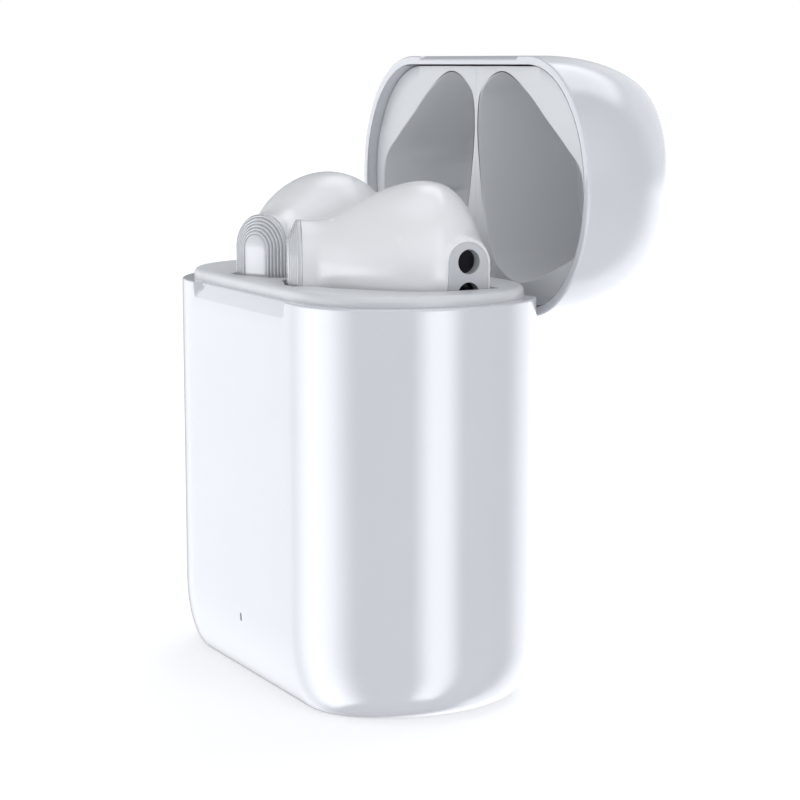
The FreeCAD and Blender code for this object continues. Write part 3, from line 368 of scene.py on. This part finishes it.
def build_lid_shell():
    edge = (LID_NOTCH[0],)
    outer_round, inner_round, quarter = 0.16, 0.14, 5
    rings = cap_rings(dome_ring(LID_TOP, 0, 0, edge), LID_TOP)
    for z in dome_heights(0):
        rings.append(level(dome_ring(z, 0, 0, edge), z))
    notch_top = RIM + LID_NOTCH[1]
    for z in (notch_top + 0.06, notch_top - 0.02, RIM + 0.5, RIM + 0.3):
        rings.append(level(plan(0, 0, 0, edge), z))
    turns = [math.pi / 2 * k / quarter for k in range(quarter + 1)]
    for turn in turns:
        inset = outer_round * (1 - math.cos(turn))
        rings.append(level(plan(0, 0, inset, edge), RIM + outer_round * (1 - math.sin(turn))))
    rings = [[lid_notch(p) for p in ring] for ring in rings]
    for turn in turns:
        inset = LID_WALL - inner_round * (1 - math.sin(turn))
        rings.append(level(plan(0, 0, inset, edge), RIM + inner_round * (1 - math.cos(turn))))
    for z in reversed(dome_heights(LID_ROOF)):
        rings.append(level(dome_ring(z, LID_WALL, LID_ROOF, edge), z))
    roof = LID_TOP - LID_ROOF
    rings += reversed(cap_rings(dome_ring(roof, LID_WALL, LID_ROOF, edge), roof))
    verts, faces = skin(rings)
    make_piece("lid_dome", [opened(v) for v in verts], faces, "shell_white", "lid", ["lid_shell"])


# ------------------------------------------------------------------ lid liner
LINER_Z = RIM + 1.06
LINER_INSET = 0.92
LINER_SKIRT = 0.9
POCKET = [(4.6, -10.0), (8.6, -8.4), (12.0, -6.0), (15.2, -3.7), (17.6, -1.6), (18.05, 1.8),
          (17.3, 5.2), (13.2, 7.3), (7.6, 8.7), (3.6, 7.1), (1.9, 3.8), (0.9, -0.8),
          (0.38, -5.2), (1.1, -8.4)]
POCKET_CORE = (8.6, -0.6)
POCKET_LIP = 0.14
POCKET_WALL = (0.03, 0.07, 0.12, 0.2, 0.3, 0.42, 0.56, 0.72, 0.9, 1.1, 1.35)
POCKET_FLOOR = (0.93, 0.85, 0.76, 0.66, 0.55, 0.44, 0.32, 0.2, 0.1)
ROOF_INSET, ROOF_LOWERED = 1.3, 2.0
# a pocket's wall by the middle web, and how much softer it is on its outer side
WALL_SLOPE, WALL_SOFTER = 14.0, 11.4
ROOF_BLEND, ROOF_SHARPER = 2.4, 1.8


def roof_height(x, y):
    """Height of the pocket's roof, which follows the lid's own dome from inside."""
    past = max(abs(x) - FLAT_HALF, 0)
    low, high = 0.0, 12.0

    def inside(below):
        a = END_REACH - ROOF_INSET - tuck(DOME_X, below)
        b = HALF_WIDTH - ROOF_INSET - tuck(DOME_Y, below)
        return (past / a) ** 2 + (y / b) ** 2 <= 1

    if inside(0):
        return LID_TOP - ROOF_LOWERED
    for _ in range(22):
        middle = (low + high) / 2
        if inside(middle):
            high = middle
        else:
            low = middle
    return LID_TOP - ROOF_LOWERED - high


def inward(loop, distance):
    """The loop moved in by a distance along its own normals."""
    count = len(loop)
    found = []
    for i in range(count):
        (ax, ay), (bx, by) = loop[i - 1], loop[(i + 1) % count]
        tx, ty = bx - ax, by - ay
        size = math.hypot(tx, ty)
        found.append((loop[i][0] - ty / size * distance, loop[i][1] + tx / size * distance))
    return found


def half_border(loop):
    """For each point of the pocket's edge, the half plate's border in the same direction."""
    cx, cy = POCKET_CORE
    a, b = END_REACH - LINER_INSET, HALF_WIDTH - LINER_INSET
    found = []
    for x, y in loop:
        dx, dy = x - cx, y - cy
        low, high = 0.5, 60.0
        size = math.hypot(dx, dy)
        dx, dy = dx / size, dy / size
        for _ in range(40):
            middle = (low + high) / 2
            px, py = cx + dx * middle, cy + dy * middle
            past = max(px - FLAT_HALF, 0)
            if px >= 0 and (past / a) ** 2 + (py / b) ** 2 <= 1:
                low = middle
            else:
                high = middle
        found.append((cx + dx * low, cy + dy * low))
    for corner in ((0, -b), (0, b)):
        near = min(range(len(found)), key=lambda i: math.dist(found[i], corner))
        found[near] = corner
    return found


def build_liner():
    edge = smooth_loop(POCKET, 14)
    border = half_border(edge)
    pairs = list(zip(border, edge))
    rings = [level(border, LINER_Z + LINER_SKIRT), level(border, LINER_Z + 0.06)]
    rings.append([(0.985 * x + 0.015 * ex, 0.985 * y + 0.015 * ey, LINER_Z)
                  for (x, y), (ex, ey) in pairs])
    for share in (0.35, 0.7, 0.93):
        rings.append([(x + (ex - x) * share, y + (ey - y) * share, LINER_Z)
                      for (x, y), (ex, ey) in pairs])
    for k in range(5):
        turn = math.pi / 2 * k / 4
        moved = inward(edge, -POCKET_LIP * (1 - math.sin(turn)))
        rings.append(level(moved, LINER_Z + POCKET_LIP * (1 - math.cos(turn))))
    for inset in POCKET_WALL:
        rings.append([(x, y, floor_at(x, y, inset)) for x, y in inward(edge, inset)])
    cx, cy = POCKET_CORE
    deepest = POCKET_WALL[-1]
    base = inward(edge, deepest)
    for share in POCKET_FLOOR:
        moved = [(cx + (x - cx) * share, cy + (y - cy) * share) for x, y in base]
        rings.append([(x, y, floor_at(x, y, deepest + math.hypot(x - bx, y - by)))
                      for (x, y), (bx, by) in zip(moved, base)])
    right, faces = skin(rings, start=False)
    count = len(right)
    verts = [opened(v) for v in right] + [opened((-x, y, z)) for x, y, z in right]
    faces = faces + [tuple(count + i for i in reversed(face)) for face in faces]
    make_piece("lid_pockets", verts, faces, "liner_grey", "lid", ["lid_liner"], sharp=50)


def floor_at(x, y, inset):
    """Height inside a pocket: a wall, steep by the middle web, that rounds over into the roof."""
    outside = ease(x, 11.0, 16.0) * ease(y, -7.0, -1.0) * (1 - ease(y, 1.5, 4.0))
    start = LINER_Z + POCKET_LIP
    wall = start + (WALL_SLOPE - WALL_SOFTER * outside) * inset
    blend = ROOF_BLEND - ROOF_SHARPER * outside
    return max(soft_min(wall, roof_height(x, y), blend), start)


# --------------------------------------------------------------------- heads
FACE = (3.68, -7.41)
FACE_TURN, NECK_TURN = math.radians(22), math.radians(30)
HEAD_MID = 38.1
# distance from the cap's face, half width, half height, and the power that squares a section off
HEAD = [(0.35, 3.1, 3.86, 2.5), (1.8, 3.17, 3.88, 2.4), (3.3, 3.85, 4.3, 2.15),
        (5.3, 5.1, 5.4, 2.0), (7.5, 6.2, 6.42, 2.0), (9.75, 6.95, 7.08, 2.0),
        (11.5, 7.0, 7.22, 2.0), (13.1, 6.55, 6.8, 2.0), (14.3, 5.4, 5.8, 2.0),
        (15.3, 3.9, 4.3, 2.0), (16.0, 2.2, 2.5, 2.0), (16.45, 0.9, 1.0, 2.0)]
HEAD_START, HEAD_LENGTH = 0.35, 16.1
HEAD_RINGS, HEAD_SIDES = 110, 200
NECK_DROP, NECK_DROP_END = 3.4, 3.4  # extra depth of the neck's underside, and where it has faded
NECK_LEAN_END = 3.6
PLATE_Y, PLATE_LOW, PLATE_HIGH = 2.9, 36.0, 38.45
POD_HALF, POD_X, POD_ROUND = 2.42, 15.75, 0.35
POD_SLOPE = 2.2
POD_FROM = 12.0
SOCKET_X, SOCKET_RADIUS = 13.8, 1.6


def pod_face(y, z):
    """How far out the head reaches round the sensor plate, with a socket where the plate sits."""
    near = min(max(z, PLATE_LOW), PLATE_HIGH)
    away = math.hypot(y - PLATE_Y, z - near)
    start = POD_HALF - POD_ROUND
    if away <= start:
        return POD_X, away < SOCKET_RADIUS
    over = (away - start) / POD_ROUND
    if over < 1:
        return POD_X - POD_ROUND * (1 - math.sqrt(1 - over * over)), False
    return POD_X - POD_ROUND - (away - POD_HALF) * POD_SLOPE, False


def head_point(reach, angle):
    half, tall, squareness = (curve_value(HEAD, reach, column) for column in (1, 2, 3))
    power = 2 / squareness
    c, s = math.cos(angle), math.sin(angle)
    if s < 0:
        tall += NECK_DROP * (1 - ease(reach, HEAD_START, NECK_DROP_END))
    across = half * math.copysign(abs(c) ** power, c)
    up = tall * math.copysign(abs(s) ** power, s)
    lean = FACE_TURN + (NECK_TURN - FACE_TURN) * ease(reach, HEAD_START, NECK_LEAN_END)
    x = FACE[0] + reach * math.sin(NECK_TURN) + across * math.cos(lean)
    y = FACE[1] + reach * math.cos(NECK_TURN) - across * math.sin(lean)
    z = HEAD_MID + up
    if across > 0 or x > POD_FROM:
        face, socket = pod_face(y, z)
        x = SOCKET_X if socket and x > SOCKET_X else soft_max(x, face, POD_ROUND)
    return (x, y, z)


def both_sides(name, verts, faces, slot_name, node, sharp=40.0):
    """A right-hand piece and its mirror image on the left earbud."""
    for side, sign in (("right", 1), ("left", -1)):
        placed = [(sign * x, y, z) for x, y, z in verts]
        turned = faces if sign > 0 else [tuple(reversed(face)) for face in faces]
        make_piece(side + name, placed, turned, slot_name, side + "_earbud", [side + node], sharp)


def build_heads():
    reaches = [HEAD_START + HEAD_LENGTH * (0.5 - 0.5 * math.cos(math.pi * i / HEAD_RINGS))
               for i in range(HEAD_RINGS + 1)]
    turns = [2 * math.pi * i / HEAD_SIDES for i in range(HEAD_SIDES)]
    verts, faces = skin([[head_point(reach, turn) for turn in turns] for reach in reaches])
    both_sides("_head_skin", verts, faces, "bud_white", "_head_shell")


# ---------------------------------------------------------------- touch caps
CAP_LOW, CAP_HIGH, CAP_HALF = 30.1, 38.85, 3.1
CAP_SIDES = 128
TREAD, RISE, RIBS = 0.29, 0.13, 6
# one rib's section: share of the tread, height over the step
RIB_SHAPE = [(0.0, -0.17), (0.16, -0.17), (0.24, 0.02), (0.36, 0.10), (0.52, 0.13),
             (0.7, 0.12), (0.84, 0.07), (0.95, -0.02)]
PILL_FOOT, PILL_CROWN, PILL_STEPS = 0.64, 0.22, 12


def cap_ring(half, along):
    """Stadium ring of the cap, by its half width and its place along the stem's depth."""
    ring = []
    for i in range(CAP_SIDES):
        turn = 2 * math.pi * i / CAP_SIDES
        across = half * math.cos(turn)
        up = half * math.sin(turn) + (CAP_HIGH if i < CAP_SIDES / 2 else CAP_LOW)
        ring.append((FACE[0] + across * math.cos(FACE_TURN) + along * math.sin(FACE_TURN),
                     FACE[1] - across * math.sin(FACE_TURN) + along * math.cos(FACE_TURN), up))
    return ring


def build_caps():
    rim = ((0.3, 0.35), (0.05, 0.35), (0, 0.3), (0, 0.04), (0.03, 0.0))
    rings = [cap_ring(CAP_HALF - inset, along) for inset, along in rim]
    for rib in range(RIBS):
        for share, height in RIB_SHAPE:
            if rib == 0 and share < 0.15:
                height = 0.0
            rings.append(cap_ring(CAP_HALF - TREAD * (rib + share), -RISE * rib - height))
    pill = CAP_HALF - TREAD * RIBS
    for k in range(PILL_STEPS + 1):
        turn = math.pi / 2 * k / PILL_STEPS
        rings.append(cap_ring(max(pill * math.cos(turn), 0.02),
                              -PILL_FOOT - PILL_CROWN * math.sin(turn) ** 0.8))
    verts, faces = skin(rings)
    faces = [tuple(reversed(face)) for face in faces]
    both_sides("_ribbed_cap", verts, faces, "cap_pearl", "_touch_cap", 60.0)


# ---------------------------------------------------------------- case shell
NOTCH_HALF, NOTCH_DROP, NOTCH_DEEP = 9.6, 1.45, 0.8
NOTCH_RUN = 1.55  # height over which the notch reaches its depth
# rounded lower corners of the notch: how far in they start, their reach and their rise
CORNER_IN, CORNER_REACH, CORNER_RISE = 0.55, 0.8, 0.7
WALL, FLOOR_Z = 1.4, 2.0
LIP_ROUND = 0.15
BACK_FROM, BACK_FULL, BACK_ROUND = 9.9, 10.1, 1.2
LIGHT_Z = 5.9


def case_point(point, sink):
    """Thumb notch along the front of the lip, and the rounded back edge for the lid's swing."""
    x, y, z = point
    if y < 0 and sink:
        corner = max(abs(x) - (NOTCH_HALF - CORNER_IN), 0) / CORNER_REACH
        start = RIM - NOTCH_DROP + CORNER_RISE * (1 - math.sqrt(max(1 - corner * corner, 0)))
        window = 1 - ease(abs(x), NOTCH_HALF - 0.12, NOTCH_HALF + 0.16)
        y += max(z - start, 0) * NOTCH_DEEP / NOTCH_RUN * window
    if y > BACK_FROM:
        over = max(y - HINGE[0], 0)
        arc = HINGE[1] + math.sqrt(BACK_ROUND ** 2 - min(over, 1.0) ** 2)
        z -= max(RIM - arc, 0) * ease(y, BACK_FROM, BACK_FULL) * max(1 - (RIM - z) / 3, 0)
    return (x, y, z)


def case_ring(z, inset, edge, sink):
    return [case_point(point, sink) for point in level(plan(0, 0, inset, edge), z)]


def build_case():
    edge = (NOTCH_HALF,)
    rings = cap_rings(plan(FOOT_X[0], FOOT_Y[0], 0, edge), 0, 8)
    for k in range(29):
        z = FOOT_Y[1] * (1 - math.cos(math.pi / 2 * k / 28))
        rings.append(level(plan(tuck(FOOT_X, z), tuck(FOOT_Y, z), 0, edge), z))
    start = RIM - NOTCH_DROP
    for z in (14.0, 21.0, 28.0, 31.0, 33.0, start - 0.03):
        rings.append(level(plan(0, 0, 0, edge), z))
    low, high = start + 0.03, RIM - 0.16
    rings += [case_ring(low + (high - low) * k / 13, 0, edge, True) for k in range(14)]
    for k in range(1, 6):
        turn = math.pi / 2 * k / 5
        inset, drop = LIP_ROUND * (1 - math.cos(turn)), LIP_ROUND * (1 - math.sin(turn))
        rings.append(case_ring(RIM - drop, inset, edge, True))
    inner_wall = [(RIM, 1.0), (RIM, 1.15), (RIM, 1.3), (RIM, WALL - 0.04), (RIM - 0.04, WALL),
                  (31.0, WALL), (12.0, WALL), (FLOOR_Z + 1.5, WALL)]
    rings += [case_ring(z, inset, edge, False) for z, inset in inner_wall]
    inner = plan(0, 0, WALL + 1.5, edge)
    rings += [level(inner, FLOOR_Z)] + cap_rings(inner, FLOOR_Z, 8)[::-1]
    verts, faces = skin(rings)
    shell = make_piece("case_body", verts, faces, "shell_white", "case", ["case_shell"])
    hinge_gap = slab([(-7.4, 9.3), (7.4, 9.3), (7.4, 12.5), (-7.4, 12.5)], 32.9, 37.0, 2)
    port_hole = slab(stadium(2.87, 1.72), -1.0, FLOOR_Z + 1.0, 2)
    light_hole = slab(stadium(0.19, 0.2), -12.5, -9.4, 1)
    cut_out(shell, [hinge_gap, port_hole, light_hole])


def stadium(reach, radius):
    """Outline of a slot: two half circles set apart to both sides of the middle."""
    found = []
    for side in (1, -1):
        for i in range(13):
            turn = math.pi * (i / 12 - 0.5)
            found.append((side * (reach + radius * math.cos(turn)), side * radius * math.sin(turn)))
    return found


def slab(outline, low, high, axis):
    """A cutting block: an outline drawn up, or drawn front to back at the light's height."""
    if axis == 2:
        rings = [level(outline, z) for z in (low, high)]
    else:
        rings = [[(across, y, LIGHT_Z + up) for up, across in outline] for y in (low, high)]
    verts, faces = skin(rings)
    mesh = bpy.data.meshes.new("cutter")
    mesh.from_pydata([Vector(v) * MM for v in verts], [], faces)
    mesh.update()
    return bpy.data.objects.new("cutter", mesh)


def cut_out(thing, cutters):
    """Take the cutting blocks out of a piece for good."""
    for cutter in cutters:
        scene.collection.objects.link(cutter)
        change = thing.modifiers.new("cut", "BOOLEAN")
        change.operation = "DIFFERENCE"
        change.solver = "MANIFOLD"
        change.object = cutter
    graph = bpy.context.evaluated_depsgraph_get()
    done = bpy.data.meshes.new_from_object(thing.evaluated_get(graph))
    thing.modifiers.clear()
    thing.data = done
    done.shade_smooth()
    done.set_sharp_from_angle(angle=math.radians(25))
    for cutter in cutters:
        bpy.data.objects.remove(cutter)


build_case()
build_caps()
build_lid_shell()
build_liner()
build_heads()

# ------------------------------------------------------------ floor and light
FLOOR_HALF = 3
FLOOR_GAP = 0.00002
FLOOR_GLOW = 0.40

floor_mesh = bpy.data.meshes.new("floor")
signs = ((-1, -1), (1, -1), (1, 1), (-1, 1))
corners = [(sx * FLOOR_HALF, sy * FLOOR_HALF, 0) for sx, sy in signs]
floor_mesh.from_pydata(corners, [], [(0, 1, 2, 3)])
floor = bpy.data.objects.new("floor", floor_mesh)
floor.location.z = cad_low.z - FLOOR_GAP
scene.collection.objects.link(floor)
floor.visible_glossy = False
floor_material, floor_tree, floor_shader, floor_place = new_tree("floor_pale")
floor_drift = ramp(floor_tree, noise(floor_tree, floor_place, 3, 2),
                   (0.78, 0.785, 0.79), (0.80, 0.805, 0.81))
floor_tree.links.new(floor_drift, floor_shader.inputs["Base Color"])
floor_shader.inputs["Roughness"].default_value = 0.9
floor_shader.inputs["Emission Color"].default_value = (1, 1, 1, 1)
floor_shader.inputs["Emission Strength"].default_value = FLOOR_GLOW
floor_mesh.materials.append(floor_material)

world = bpy.data.worlds.new("studio")
scene.world = world
world.use_nodes = True
sky = world.node_tree
sky.nodes.clear()


def sky_math(kind, a, b=None, c=None):
    """A maths node of the sky, fed with numbers or with other nodes' outputs."""
    node = sky.nodes.new("ShaderNodeMath")
    node.operation = kind
    for socket, value in zip(node.inputs, (a, b, c)):
        if value is None:
            continue
        if isinstance(value, (int, float)):
            socket.default_value = value
        else:
            sky.links.new(value, socket)
    return node.outputs[0]


def soft_step(value, start, end):
    node = sky.nodes.new("ShaderNodeMapRange")
    node.interpolation_type = "SMOOTHSTEP"
    node.inputs["From Min"].default_value = start
    node.inputs["From Max"].default_value = end
    sky.links.new(value, node.inputs["Value"])
    return node.outputs["Result"]


direction = sky.nodes.new("ShaderNodeTexCoord").outputs["Generated"]
parts = sky.nodes.new("ShaderNodeSeparateXYZ")
sky.links.new(direction, parts.inputs[0])
# degrees round the object: 0 towards the front, 90 towards the near end, 180 behind
toward = sky_math("MULTIPLY", parts.outputs["Y"], -1)
turn = sky_math("DEGREES", sky_math("ARCTAN2", parts.outputs["X"], toward))
lift = sky_math("DEGREES", sky_math("ARCSINE", parts.outputs["Z"]))


def panel(centre, half, soft, low, high, fade, power):
    """A soft-edged light panel of the studio, given in degrees round and degrees up."""
    off = sky_math("SUBTRACT", turn, centre)
    wrapped = sky_math("ABSOLUTE", sky_math("WRAP", off, 180, -180))
    across = sky_math("SUBTRACT", 1, soft_step(wrapped, half - soft, half + soft))
    up = sky_math("MULTIPLY", soft_step(lift, low - fade, low + fade),
                  sky_math("SUBTRACT", 1, soft_step(lift, high - fade, high + fade)))
    return sky_math("MULTIPLY", sky_math("MULTIPLY", across, up), power)


AMBIENT = 0.26
TINT = (("Red", 0.965), ("Green", 0.985), ("Blue", 1.02))
# centre and half width round the object, softness, lowest and highest, fade, power;
# a panel that ends below the horizon shows only in the reflections of upright walls
PANELS = [
    (-42, 48, 24, -55, 20, 12, 1.80),
    (-12, 26, 20, -60, -2, 4, 4.2),
    (98, 13, 10, -60, -2, 4, 3.7),
    (98, 13, 10, -60, 45, 12, 1.2),
    (80, 56, 24, 8, 50, 8, 0.66),
    (-155, 36, 14, -60, -2, 4, 1.1),
    (-155, 30, 14, -60, 40, 12, 0.7),
    (-150, 36, 10, 38, 62, 5, 1.9),
    (20, 180, 1, 66, 95, 10, 1.35),
]
total = AMBIENT
for strength in [panel(*row) for row in PANELS]:
    total = sky_math("ADD", strength, total)
tint = sky.nodes.new("ShaderNodeCombineColor")
for channel, share in TINT:
    sky.links.new(sky_math("MULTIPLY", total, share), tint.inputs[channel])
lit = sky.nodes.new("ShaderNodeBackground")
sky.links.new(tint.outputs["Color"], lit.inputs["Color"])
plain = sky.nodes.new("ShaderNodeBackground")
plain.inputs["Color"].default_value = (1, 1, 1, 1)
eye = sky.nodes.new("ShaderNodeLightPath")
pick = sky.nodes.new("ShaderNodeMixShader")
sky.links.new(eye.outputs["Is Camera Ray"], pick.inputs["Fac"])
sky.links.new(lit.outputs[0], pick.inputs[1])
sky.links.new(plain.outputs[0], pick.inputs[2])
out = sky.nodes.new("ShaderNodeOutputWorld")
sky.links.new(pick.outputs[0], out.inputs["Surface"])
